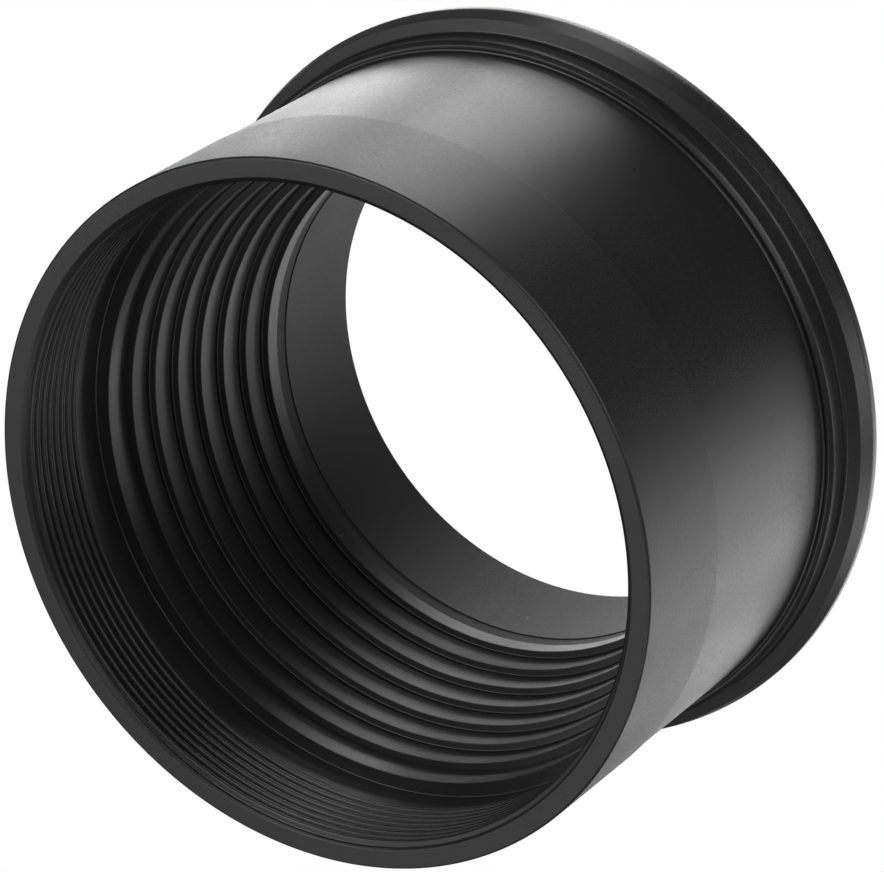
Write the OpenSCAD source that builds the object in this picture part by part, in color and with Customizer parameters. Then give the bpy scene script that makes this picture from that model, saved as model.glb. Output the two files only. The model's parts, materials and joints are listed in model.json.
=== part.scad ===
// Two-inch telescope nosepiece that carries a camera: a barrel with a filter thread, a stepped
// baffle sleeve trapped inside it, and a flange ring with the camera thread screwed on behind.
// The optical axis lies along Y. Y = 0 is the flange's rear face, where the camera seats, and
// the filter end faces -Y. Threads are plain walls: a hole's at its minor diameter, a stud's at
// its major diameter, and the pair that holds the barrel to the ring near the pitch diameter.

/* [Barrel] */
// Diameter of the barrel that a two-inch focuser holds
barrel_d = 50.8; // [50.6:0.1:51.0]
// Length of the barrel from its free end to the shoulder
barrel_reach = 25.0; // [22:0.5:40]
// Length of the full-diameter band at the free end
grip_band = 9.5; // [8:0.5:12]
// How far the barrel is turned down behind that band, on the radius
grip_relief = 0.1; // [0.05:0.05:0.3]
// Inner diameter of the lip that the baffle sleeve stops against
lip_d = 46.2; // [45.8:0.1:46.4]
// Length of that lip along the axis
lip_length = 2.2; // [1.5:0.1:3]

/* [Filter thread] */
// Minor diameter of the filter thread in the free end
filter_minor_d = 47.2; // [47.1:0.05:47.3]
// Length of the filter thread, its lead-in chamfer included
filter_depth = 6.4; // [4:0.1:7]
// Diameter of the run-out behind the filter thread
runout_d = 48.4; // [48.1:0.1:48.6]
// Distance from the free end to the lip
lip_depth = 9.4; // [8:0.1:10]

/* [Baffle sleeve] */
// Outer diameter of the baffle sleeve
sleeve_d = 47.1; // [46.8:0.1:47.3]
// Number of steps in the sleeve's bore
steps = 7; // [5:1:7]
// Axial length of each step but the last, which takes the rest of the sleeve
step_length = 2.13; // [1.8:0.01:2.15]
// Diameter of the smallest step
sleeve_exit_d = 38.6; // [38.6:0.1:39.4]

/* [Flange ring] */
// Diameter of the collar that stops against the focuser
collar_d = 52.3; // [52:0.1:53.5]
// Length of the collar along the axis
collar_length = 2.0; // [1.5:0.1:3]
// Diameter of the flange
flange_d = 55.0; // [54.5:0.1:58]
// Thickness of the flange
flange_thickness = 2.2; // [1.8:0.1:4]
// Width of the chamfer on the collar's front edge
collar_chamfer = 0.3; // [0.2:0.05:0.4]
// How far the flange's front face leans back from its root to its edge
face_lean = 0.3; // [0.1:0.05:0.4]
// How much smaller the flange is at that edge, on the radius
taper_rise = 0.35; // [0.2:0.05:0.5]
// Length of the full-diameter rim behind the taper
rim_length = 0.7; // [0.5:0.1:1]
// Diameter of the clear bore
clear_d = 38.46; // [38:0.01:38.5]

/* [Camera thread] */
// Major diameter of the camera thread
camera_thread_d = 42; // [41.8:0.05:42]
// Length from the seat to the thread's free end
camera_stub = 6.0; // [4.5:0.1:7]

/* [Assembly thread] */
// Pitch diameter of the thread between the barrel and the flange ring
joint_thread_d = 49.5; // [49.4:0.1:49.6]
// Length of that thread, the register included
joint_thread_length = 1.7; // [1.5:0.1:1.8]
// How deep the barrel's coned shoulder sits in the ring's front face
register_depth = 0.3; // [0.2:0.05:0.4]
// Width of the fillet that flares the barrel out to that shoulder, drawn as a chamfer
shoulder_flare = 0.2; // [0.1:0.05:0.2]
// Running clearance of turned fits, on the radius
fit_gap = 0.05; // [0.03:0.01:0.08]

/* [Finish] */
// Width of the broken outer edges
edge_break = 0.25; // [0.15:0.05:0.35]
// Width of the broken edge at the back of the rim
rim_break = 0.12; // [0.05:0.01:0.2]
// Width of the chamfer where the filter starts
mouth_chamfer = 0.5; // [0.3:0.05:0.6]

/* [Hidden] */
black_anodise = "#26262a";
sleeve_black = "#1c1c1e";
$fn = 96;

// Stations along the axis, from the camera seat at zero towards the free end
collar_y = -flange_thickness;
shoulder_y = collar_y - collar_length;
free_y = shoulder_y - barrel_reach;
band_y = free_y + grip_band;
lip_y = free_y + lip_depth;
sleeve_y = lip_y + lip_length;
register_y = shoulder_y + register_depth;
socket_y = shoulder_y + joint_thread_length;
stub_y = camera_stub;

// Radii that several sections share
barrel_r = barrel_d / 2;
waist_r = barrel_r - grip_relief;
flare_r = waist_r + shoulder_flare;
flange_r = flange_d / 2;
clear_r = clear_d / 2;
sleeve_r = sleeve_d / 2;
joint_r = joint_thread_d / 2;
lip_r = lip_d / 2;
step_rise = (lip_r - sleeve_exit_d / 2) / steps;

// Revolves a half section given as [radius, station] points about the optical axis
module turned(section) {
    rotate([-90, 0, 0]) rotate_extrude() polygon(section);
}

// Barrel: grip band, filter thread, run-out, lip, sleeve seat and the threaded spigot behind
module barrel_tube() {
    color(black_anodise) turned([
        [barrel_r - edge_break, free_y],
        [barrel_r, free_y + edge_break],
        [barrel_r, band_y],
        [waist_r, band_y + grip_relief],
        [waist_r, shoulder_y - shoulder_flare],
        [flare_r, shoulder_y],
        [flare_r - register_depth, register_y],
        [joint_r - fit_gap / 2, register_y],
        [joint_r - fit_gap / 2, socket_y - fit_gap],
        [sleeve_r + fit_gap, socket_y - fit_gap],
        [sleeve_r + fit_gap, sleeve_y],
        [lip_r, sleeve_y],
        [lip_r, lip_y],
        [runout_d / 2, lip_y],
        [runout_d / 2, free_y + filter_depth],
        [filter_minor_d / 2, free_y + filter_depth],
        [filter_minor_d / 2, free_y + mouth_chamfer],
        [filter_minor_d / 2 + mouth_chamfer, free_y]
    ]);
}

// Baffle sleeve: a plain outside, and a bore that narrows in equal steps towards the camera
module baffle_sleeve() {
    // The end of step i, where the last step runs to the back of the sleeve
    function step_end(i) = i == steps - 1 ? socket_y : sleeve_y + (i + 1) * step_length;
    color(sleeve_black) turned(concat(
        [[sleeve_r, socket_y], [sleeve_r, sleeve_y]],
        [for (i = [0 : steps - 1], far = [false, true])
            [lip_r - (i + 1) * step_rise, far ? step_end(i) : sleeve_y + i * step_length]]
    ));
}

// Flange ring: coned register, threaded socket, collar, tapered flange, camera seat and stub
module flange_ring() {
    color(black_anodise) turned([
        [clear_r, socket_y],
        [joint_r + fit_gap / 2, socket_y],
        [joint_r + fit_gap / 2, register_y],
        [flare_r + fit_gap - register_depth, register_y],
        [flare_r + fit_gap, shoulder_y],
        [collar_d / 2 - collar_chamfer, shoulder_y],
        [collar_d / 2, shoulder_y + collar_chamfer],
        [collar_d / 2, collar_y],
        [flange_r - taper_rise, collar_y + face_lean],
        [flange_r, -rim_length],
        [flange_r, -rim_break],
        [flange_r - rim_break, 0],
        [camera_thread_d / 2, 0],
        [camera_thread_d / 2, stub_y - mouth_chamfer],
        [camera_thread_d / 2 - mouth_chamfer, stub_y],
        [clear_r + edge_break, stub_y],
        [clear_r, stub_y - edge_break]
    ]);
}

barrel_tube();
baffle_sleeve();
flange_ring();
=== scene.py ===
"""Telescope nosepiece: an anodised barrel, a stepped baffle sleeve inside it, and a flange ring
with the camera thread. The optical axis is Y, the filter end faces -Y, and Y = 0 is the camera seat.
Sections are half profiles in millimetres, spun about Y; everything in the scene is in metres."""

import json
import math

import bmesh
import bpy
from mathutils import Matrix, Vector


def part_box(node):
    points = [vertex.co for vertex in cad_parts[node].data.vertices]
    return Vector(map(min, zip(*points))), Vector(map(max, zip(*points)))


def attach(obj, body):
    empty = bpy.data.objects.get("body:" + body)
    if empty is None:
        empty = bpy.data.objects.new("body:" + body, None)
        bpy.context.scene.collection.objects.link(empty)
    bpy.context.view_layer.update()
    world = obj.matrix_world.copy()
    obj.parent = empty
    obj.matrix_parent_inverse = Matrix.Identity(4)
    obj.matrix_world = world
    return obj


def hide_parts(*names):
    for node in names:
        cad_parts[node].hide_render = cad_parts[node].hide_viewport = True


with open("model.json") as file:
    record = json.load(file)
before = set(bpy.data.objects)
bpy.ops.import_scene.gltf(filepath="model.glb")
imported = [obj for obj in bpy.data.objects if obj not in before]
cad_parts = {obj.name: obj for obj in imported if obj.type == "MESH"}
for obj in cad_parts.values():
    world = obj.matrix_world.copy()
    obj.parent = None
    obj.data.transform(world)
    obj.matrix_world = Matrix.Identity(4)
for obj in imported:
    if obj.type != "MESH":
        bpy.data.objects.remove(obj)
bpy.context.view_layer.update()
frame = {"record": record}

# ---------------------------------------------------------------- sizes, in millimetres
MM = 0.001
TURN = 2 * math.pi
mounts = {m["name"]: m for m in frame["record"]["mounts"]}


def mount_r(name):
    """A mount's radius in millimetres."""
    return mounts[name]["dims"]["r_mm"]


def span(node):
    """Where a CAD node starts and ends along Y, in millimetres."""
    low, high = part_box(node)
    return low.y / MM, high.y / MM


def outer_r(node):
    """A CAD node's largest radius in millimetres."""
    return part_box(node)[1].x / MM


free_y, spigot_y = span("barrel_tube")
sleeve_y, socket_y = span("baffle_sleeve")
shoulder_y, stub_y = span("flange_ring")
barrel_r = outer_r("barrel_tube")
sleeve_r = outer_r("baffle_sleeve")
flange_r = outer_r("flange_ring")
filter_r = mount_r("filter_thread")
camera_r = mount_r("camera_thread")
clear_r = mount_r("clear_bore")

pitch = 0.75  # of all three threads
filter_thread_depth = 0.43
camera_thread_depth = 0.46
lead_in = 0.5  # the chamfer where a filter or a camera starts its thread
filter_depth = 6.4
runout_r = 24.2
runout_slope = 0.3

band_y = free_y + 9.5  # the full-diameter band ends here
waist_r = barrel_r - 0.1
waist_slope = 0.15
flare_r = waist_r + 0.2  # the barrel's fillet runs out here, against the ring

cone = 0.3  # the barrel's coned shoulder sits this deep in the ring's front face
register_y = shoulder_y + cone
joint_major_r = 24.97
joint_minor_r = 24.56
relief_r = joint_minor_r - 0.1
joint_lead_in = 0.3
thread_gap = 0.04
fit_gap = 0.05

lip_r = 23.1
lip_y = sleeve_y - 2.2
exit_r = 19.3
steps = 7
step_length = 2.13

collar_r = 26.15
collar_y = -2.2
collar_chamfer = 0.3
taper_r = flange_r - 0.35
taper_y = collar_y + 0.3
rim_y = -0.7
undercut_r = camera_r - 0.5
undercut_y = 0.8
undercut_slope = 0.4
matt_r = 19.5  # the bore is matt inside this radius

# Widths of the rounded edges, from a polished step to the largest fillet
hair = 0.015
keen = 0.02
crisp = 0.03
sharp = 0.04
fine = 0.05
root = 0.10  # what a tool's nose leaves in a corner
soft = 0.12
fillet = 0.19  # at the shoulder and behind the collar
round_over = 0.2


# ---------------------------------------------------------------- turned pieces
SEGMENTS = 256
LOOPS_PER_PITCH = 16
PLAIN_LOOP = 1.6  # the longest plain wall between two loops, in millimetres


def ridge(station, angle):
    """How far a point is from a thread's crest line, from 0 on it to 0.5 half a pitch away."""
    turn = station / pitch - angle / TURN
    return abs(turn - round(turn))


def ramp(x, low, high):
    """0 below low and 1 above high, with soft ends."""
    t = min(max((x - low) / (high - low), 0), 1)
    return t * t * (3 - 2 * t)


def stud_thread(major, minor):
    """Radius of a male thread at a station and angle, narrow on its crests."""
    return lambda y, a: major - (major - minor) * ramp(ridge(y, a), 0.06, 0.40)


def hole_thread(minor, major):
    """Radius of a female thread, whose roots lie over the stud's crests."""
    return lambda y, a: major - (major - minor) * ramp(ridge(y, a), 0.08, 0.40)


def corner_rounds(bm, corners):
    """Rounds the corners of a flat section, one width at a time."""
    for width in sorted({w for v, w in corners if w}):
        bmesh.ops.bevel(bm, geom=[v for v, w in corners if w == width], affect="VERTICES",
                        offset=width * MM, offset_type="OFFSET", segments=4, profile=0.5,
                        material=-1)


def add_loops(bm, threads):
    """Divides a section's walls: finely where a thread is cut, and evenly elsewhere."""
    for e in bm.edges[:]:
        a, b = (v.co for v in e.verts)
        length = (a - b).length / MM
        mid = (a + b) / 2 / MM
        step = PLAIN_LOOP
        for t in threads:
            if t["low"] <= mid.y <= t["high"] and t["inside"] <= mid.x <= t["outside"]:
                step = pitch / LOOPS_PER_PITCH
        cuts = math.ceil(length / step) - 1
        if cuts > 0:
            bmesh.ops.subdivide_edges(bm, edges=[e], cuts=cuts)


def cut_threads(bm, threads):
    """Moves the points of each threaded wall in or out to the thread's own radius."""
    for t in threads:
        for v in bm.verts:
            y, r = v.co.y / MM, math.hypot(v.co.x, v.co.z) / MM
            if t["low"] <= y <= t["high"] and t["inside"] <= r <= t["outside"]:
                new_r = t["pick"](r, t["radius"](y, math.atan2(v.co.x, v.co.z)))
                v.co.x *= new_r / r
                v.co.z *= new_r / r


def turned(name, section, threads=()):
    """Spins a half section of (radius, station, edge width) about Y, and cuts its threads."""
    bm = bmesh.new()
    corners = [(bm.verts.new((r * MM, y * MM, 0)), w) for r, y, w in section]
    bm.faces.new([v for v, w in corners])
    corner_rounds(bm, corners)
    bmesh.ops.delete(bm, geom=bm.faces[:], context="FACES_ONLY")
    add_loops(bm, threads)
    bmesh.ops.spin(bm, geom=bm.verts[:] + bm.edges[:], cent=(0, 0, 0), axis=(0, 1, 0),
                   angle=TURN, steps=SEGMENTS, use_merge=True)
    cut_threads(bm, threads)
    bmesh.ops.recalc_face_normals(bm, faces=bm.faces[:])
    mesh = bpy.data.meshes.new(name)
    bm.to_mesh(mesh)
    bm.free()
    mesh.shade_smooth()
    piece = bpy.data.objects.new(name, mesh)
    bpy.context.scene.collection.objects.link(piece)
    shading = piece.modifiers.new("even shading", "WEIGHTED_NORMAL")
    shading.weight = 100
    return piece


# ---------------------------------------------------------------- finishes
class Socket:
    """An output socket with arithmetic, so that shader maths reads as expressions."""

    def __init__(self, graph, socket):
        self.graph, self.socket = graph, socket

    def _math(self, operation, *values):
        return self.graph.node("ShaderNodeMath", {"operation": operation}, dict(enumerate(values)))

    def __add__(self, other):
        return self._math("ADD", self, other)

    def __sub__(self, other):
        return self._math("SUBTRACT", self, other)

    def __rsub__(self, other):
        return self._math("SUBTRACT", other, self)

    def __mul__(self, other):
        return self._math("MULTIPLY", self, other)

    def __gt__(self, other):
        return self._math("GREATER_THAN", self, other)

    def __lt__(self, other):
        return self._math("LESS_THAN", self, other)

    __radd__ = __add__
    __rmul__ = __mul__


class Graph:
    """A node tree under construction."""

    def __init__(self, tree):
        self.tree = tree

    def node(self, kind, settings, inputs, output=0):
        """Adds a node, sets it up, feeds its sockets, and gives back one of its outputs."""
        made = self.tree.nodes.new(kind)
        for key, value in settings.items():
            setattr(made, key, value)
        for key, value in inputs.items():
            self.feed(made.inputs[key], value)
        return Socket(self, made.outputs[output])

    def feed(self, socket, value):
        """Links a socket to another, or sets its value."""
        if isinstance(value, Socket):
            self.tree.links.new(value.socket, socket)
        else:
            socket.default_value = value


class Finish(Graph):
    """A procedural material under construction."""

    def __init__(self, name):
        self.material = bpy.data.materials.new(name)
        self.material.use_nodes = True
        super().__init__(self.material.node_tree)
        self.shader = self.tree.nodes["Principled BSDF"]
        self.place = self.node("ShaderNodeTexCoord", {}, {}, "Object")

    def set(self, **inputs):
        """Feeds the shader's own sockets; an underscore stands for a space."""
        for key, value in inputs.items():
            self.feed(self.shader.inputs[key.replace("_", " ")], value)

    def noise(self, size_mm, place=None):
        """Noise whose features are about size_mm across."""
        return self.node("ShaderNodeTexNoise", {},
                         {"Vector": place or self.place, "Scale": 1 / (size_mm * MM), "Detail": 3})

    def cells(self, size_mm, output):
        """Cells about size_mm across: how far each point is from its cell's centre, or a colour
        that differs from cell to cell."""
        return self.node("ShaderNodeTexVoronoi", {},
                         {"Vector": self.place, "Scale": 1 / (size_mm * MM)}, output)

    def scaled(self, scale):
        """The point's place with its axes scaled."""
        return self.node("ShaderNodeMapping", {"vector_type": "POINT"},
                         {"Vector": self.place, "Scale": scale})


NOWHERE = -100.0  # a station in front of the whole object, in millimetres
GRAIN_DEPTH = 0.008
DUST_SPACING = 2.2


def anodised(name, shade, roughness, tool_marks=0.0, matt_below_r=0.0, matt_beyond_y=NOWHERE,
             worn_before_y=NOWHERE):
    """Black anodised aluminium: blasted grain, turning marks, cloudy dye and a little dust.
    It is matter inside a radius and beyond a station, and slightly worn in front of another
    station, all in millimetres."""
    f = Finish(name)
    blast = f.noise(0.16)
    cloud = f.noise(9)
    lathe = f.noise(0.09, f.scaled((0.002, 1, 0.002)))
    lot = f.node("ShaderNodeSeparateColor", {}, {"Color": f.cells(DUST_SPACING, "Color")}, "Red")
    dust = (f.cells(DUST_SPACING, "Distance") < 0.035) * (lot > 0.9)
    radius = f.node("ShaderNodeVectorMath", {"operation": "LENGTH"}, {0: f.scaled((1, 0, 1))},
                    "Value")
    station = f.node("ShaderNodeSeparateXYZ", {}, {"Vector": f.place}, "Y")
    matt = (radius < matt_below_r * MM) * (station > matt_beyond_y * MM)
    worn = station < worn_before_y * MM
    tone = shade * (0.7 + 0.6 * cloud) * (0.6 + 0.8 * blast) + 0.25 * dust
    f.set(Base_Color=f.node("ShaderNodeCombineColor", {}, {0: tone, 1: tone, 2: tone * 1.03}),
          IOR=1.62,
          Roughness=roughness + 0.30 * (blast - 0.5) + 0.08 * (cloud - 0.5) + 0.3 * dust
          + 0.27 * matt + 0.05 * worn,
          Normal=f.node("ShaderNodeBump", {},
                        {"Strength": 1.0, "Distance": 1.0,
                         "Height": GRAIN_DEPTH * MM * blast + tool_marks * MM * lathe}))
    return f.material


# ---------------------------------------------------------------- the three pieces
def deeper(r, thread_r):
    """A hole's wall goes out to the thread where the thread is wider."""
    return max(r, thread_r)


def shallower(r, thread_r):
    """A stud's wall comes in to the thread where the thread is narrower."""
    return min(r, thread_r)


def thread(low, high, inside, outside, radius, pick):
    """A thread between two stations, on walls between two radii. The window takes in the thread's
    own wall and chamfers, and keeps just clear of the corners beyond them."""
    return {"low": low, "high": high, "inside": inside, "outside": outside,
            "radius": radius, "pick": pick}


def barrel():
    """Barrel with its grip band, filter thread, run-out, lip, sleeve seat and spigot."""
    section = [
        (barrel_r, free_y, round_over),
        (barrel_r, band_y, hair),
        (waist_r, band_y + waist_slope, hair),
        (waist_r, shoulder_y, fillet),
        (flare_r, shoulder_y, 0),
        (flare_r - cone, register_y, fine),
        (relief_r, register_y, fine),
        (relief_r, register_y + 0.12, fine),
        (joint_major_r, register_y + joint_lead_in, 0),
        (joint_major_r, spigot_y - 0.25, 0),
        (joint_major_r - joint_lead_in, spigot_y, fine),
        (sleeve_r + fit_gap, spigot_y, fine),
        (sleeve_r + fit_gap, sleeve_y, fine),
        (lip_r, sleeve_y, fine),
        (lip_r, lip_y, fine),
        (runout_r, lip_y, root),
        (runout_r, free_y + filter_depth + runout_slope, fine),
        (filter_r, free_y + filter_depth, 0),
        (filter_r, free_y + lead_in, 0),
        (filter_r + lead_in, free_y, fine),
    ]
    threads = [
        thread(free_y + 0.02, free_y + filter_depth + 0.25, filter_r - 0.01, filter_r + 0.49,
               hole_thread(filter_r, filter_r + filter_thread_depth), deeper),
        thread(register_y + 0.14, spigot_y - 0.02, joint_minor_r - 0.09, joint_major_r + 0.01,
               stud_thread(joint_major_r, joint_minor_r), shallower),
    ]
    piece = turned("barrel", section, threads)
    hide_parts("barrel_tube")
    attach(piece, "barrel")
    finish = anodised("black anodised barrel", 0.012, 0.35, worn_before_y=band_y)
    piece.data.materials.append(finish)


def sleeve():
    """Baffle sleeve, whose bore narrows in steps towards the camera."""
    rise = (lip_r - exit_r) / steps
    section = [(sleeve_r, socket_y, fine), (sleeve_r, sleeve_y, fine)]
    for i in range(steps):
        step_r = lip_r - (i + 1) * rise
        section.append((step_r, sleeve_y + i * step_length, fine))
        section.append((step_r, sleeve_y + (i + 1) * step_length, root))
    section[-1] = (exit_r, socket_y, fine)  # the last step runs on to the back of the sleeve
    piece = turned("baffle", section)
    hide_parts("baffle_sleeve")
    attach(piece, "sleeve")
    finish = anodised("black anodised sleeve", 0.007, 0.43, tool_marks=0.002,
                      matt_below_r=matt_r, matt_beyond_y=-3.6)
    piece.data.materials.append(finish)


def flange():
    """Flange ring with its threaded socket, collar, camera seat and camera thread."""
    socket_major_r = joint_major_r + thread_gap
    socket_minor_r = joint_minor_r + thread_gap
    seat_r = flare_r + fit_gap
    section = [
        (clear_r, socket_y, fine),
        (socket_major_r, socket_y, fine),
        (socket_minor_r, socket_y - joint_lead_in, 0),
        (socket_minor_r, register_y + joint_lead_in, 0),
        (socket_major_r + 0.04, register_y, crisp),
        (seat_r - cone, register_y, crisp),
        (seat_r, shoulder_y, keen),
        (collar_r - collar_chamfer, shoulder_y, sharp),
        (collar_r, shoulder_y + collar_chamfer, soft),
        (collar_r, collar_y, fillet),
        (taper_r, taper_y, sharp),
        (flange_r, rim_y, soft),
        (flange_r, 0, soft),
        (undercut_r, 0, root),
        (undercut_r, undercut_y, root),
        (camera_r, undercut_y + undercut_slope, 0),
        (camera_r, stub_y - lead_in, 0),
        (camera_r - lead_in, stub_y, fine),
        (clear_r, stub_y, round_over),
    ]
    threads = [
        thread(register_y + 0.02, socket_y - 0.02, joint_minor_r, joint_major_r + 0.07,
               hole_thread(socket_minor_r, socket_major_r), deeper),
        thread(undercut_y + 0.05, stub_y - 0.02, undercut_r + 0.03, camera_r + 0.01,
               stud_thread(camera_r, camera_r - camera_thread_depth), shallower),
    ]
    piece = turned("flange", section, threads)
    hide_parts("flange_ring")
    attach(piece, "ring")
    finish = anodised("black anodised flange", 0.012, 0.36, matt_below_r=matt_r)
    piece.data.materials.append(finish)


# ---------------------------------------------------------------- studio
def facing(azimuth, elevation):
    """The direction from the object towards a viewer at that azimuth and elevation, in degrees."""
    a, e = math.radians(azimuth), math.radians(elevation)
    return Vector((math.sin(a) * math.cos(e), -math.cos(a) * math.cos(e), math.sin(e)))


def camera():
    """A long lens that looks into the filter end from the right and above."""
    distance, aim_right, aim_up = 0.329, 0.0085, 0.0057  # the aim is taken from the mouth's centre
    data = bpy.data.cameras.new("camera")
    data.sensor_width = 36
    data.lens = 200
    data.clip_start, data.clip_end = 0.01, 20
    back = facing(30.67, 23.36)
    turn = (-back).to_track_quat("-Z", "Y")
    right, up = turn @ Vector((1, 0, 0)), turn @ Vector((0, 1, 0))
    mouth = Vector((0, free_y * MM, 0))
    eye = bpy.data.objects.new("camera", data)
    eye.location = mouth + right * aim_right + up * aim_up + back * distance
    eye.rotation_mode = "QUATERNION"
    eye.rotation_quaternion = turn
    bpy.context.scene.collection.objects.link(eye)
    bpy.context.scene.camera = eye


def softbox(name, polar, around, size, power):
    """A square soft light one metre away that points at the object. Its direction is polar degrees
    off the +Y axis, and around degrees about it, from +X towards +Z."""
    p, q = math.radians(polar), math.radians(around)
    towards = Vector((math.sin(p) * math.cos(q), math.cos(p), math.sin(p) * math.sin(q)))
    data = bpy.data.lights.new(name, "AREA")
    data.shape = "SQUARE"
    data.size = size
    data.energy = power
    lamp = bpy.data.objects.new(name, data)
    lamp.location = towards
    lamp.rotation_mode = "QUATERNION"
    lamp.rotation_quaternion = (-towards).to_track_quat("-Z", "Y")
    bpy.context.scene.collection.objects.link(lamp)


def floor():
    """A plain pale floor for the eye alone: it neither lights the object nor shades the lamps."""
    bm = bmesh.new()
    bmesh.ops.create_grid(bm, x_segments=1, y_segments=1, size=3)
    bmesh.ops.translate(bm, vec=(0, 0, -flange_r * MM), verts=bm.verts[:])
    mesh = bpy.data.meshes.new("floor")
    bm.to_mesh(mesh)
    bm.free()
    pale = Finish("pale floor")
    pale.set(Base_Color=(0, 0, 0, 1), Specular_IOR_Level=0.0, Emission_Color=(1, 1, 1, 1),
             Emission_Strength=1.0)
    mesh.materials.append(pale.material)
    ground = bpy.data.objects.new("floor", mesh)
    ground.visible_diffuse = False
    ground.visible_glossy = False
    ground.visible_shadow = False
    bpy.context.scene.collection.objects.link(ground)


def room():
    """Surroundings: white to the eye, dim as a light."""
    dim = 0.07
    world = bpy.data.worlds.new("room")
    world.use_nodes = True
    bpy.context.scene.world = world
    graph = Graph(world.node_tree)
    white = {"Color": (1, 1, 1, 1)}
    seen = graph.node("ShaderNodeBackground", {}, white)
    lit = graph.node("ShaderNodeBackground", {}, {**white, "Strength": dim})
    to_eye = graph.node("ShaderNodeLightPath", {}, {}, "Is Camera Ray")
    mixed = graph.node("ShaderNodeMixShader", {}, {0: to_eye, 1: lit, 2: seen})
    graph.feed(graph.tree.nodes["World Output"].inputs["Surface"], mixed)
    bpy.context.scene.view_settings.view_transform = "Standard"


# Each soft box: its name, polar and around in degrees, size in metres, and power in watts
SOFTBOXES = [
    ("back, above left", 31, 125, 0.35, 1.3),
    ("back, left", 31, 160, 0.35, 1.2),
    ("back, far left", 31, 190, 0.35, 1.3),
    ("back, below left", 31, 220, 0.35, 2.2),
    ("back, far below", 33, 250, 0.3, 0.4),
    ("back, below", 31, 280, 0.35, 0.7),
    ("back, below right", 31, 310, 0.35, 0.75),
    ("back, right", 31, 336, 0.35, 0.3),
    ("side, above left", 60, 102, 0.35, 0.8),
    ("far back, above left", 20, 130, 0.3, 0.6),
    ("side, below right", 63, 318, 0.35, 0.7),
    ("side, right", 67, 355, 0.4, 0.9),
    ("side, above right", 100, 40, 0.7, 2.9),
    ("front, above right", 142, 40, 0.6, 0.6),
    ("front, above left", 140, 125, 0.45, 2.6),
    ("front, left", 142, 190, 0.4, 1.1),
    ("front, below right", 134, 308, 0.45, 1.3),
    ("front, below", 140, 245, 0.4, 0.7),
]

barrel()
sleeve()
flange()
camera()
floor()
room()
for box in SOFTBOXES:
    softbox(*box)
